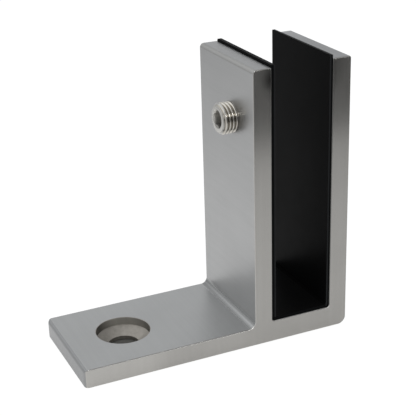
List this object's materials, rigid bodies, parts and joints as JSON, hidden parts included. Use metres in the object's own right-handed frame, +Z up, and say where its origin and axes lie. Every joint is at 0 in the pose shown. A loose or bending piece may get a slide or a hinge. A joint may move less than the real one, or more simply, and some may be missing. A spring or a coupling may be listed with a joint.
{
  "type": "glass panel clamp",
  "caption": "Side-fixed glass panel clamp: L-shaped foot and channel with a bolt hole, rubber liner and pad, and a socket grub screw that grips the glass edge.",
  "frame": {"origin": "on the axis of the fixing hole, at the underside of the foot", "axes": "+X along the foot towards the glass channel, +Y across the width, +Z up out of the fixing hole"},
  "size_m": [0.1, 0.041, 0.1012],
  "materials": {
    "satin_steel": "satin, fine brushed",
    "black_rubber": "matt, slightly sheened",
    "bright_steel": "bright, as turned"
  },
  "bodies": {
    "clamp": {"clamp_body": "satin_steel", "slot_liner": "black_rubber"},
    "pad": {"screw_side_pad": "black_rubber"},
    "screw": {"grub_screw": "bright_steel"}
  },
  "joints": [
    {"name": "pad_feed", "type": "slide", "parent": "clamp", "child": "pad", "axis": [1, 0, 0], "range_m": [0, 0.00508]},
    {"name": "screw_turn", "type": "hinge", "parent": "pad", "child": "screw", "pos_m": [0.0486, -0.0032, 0.0796], "axis": [1, 0, 0], "range_deg": [0, 1440]}
  ],
  "couplings": [
    {"joint": "screw_turn", "follows": "pad_feed", "rad_per_m": 4947.4}
  ]
}
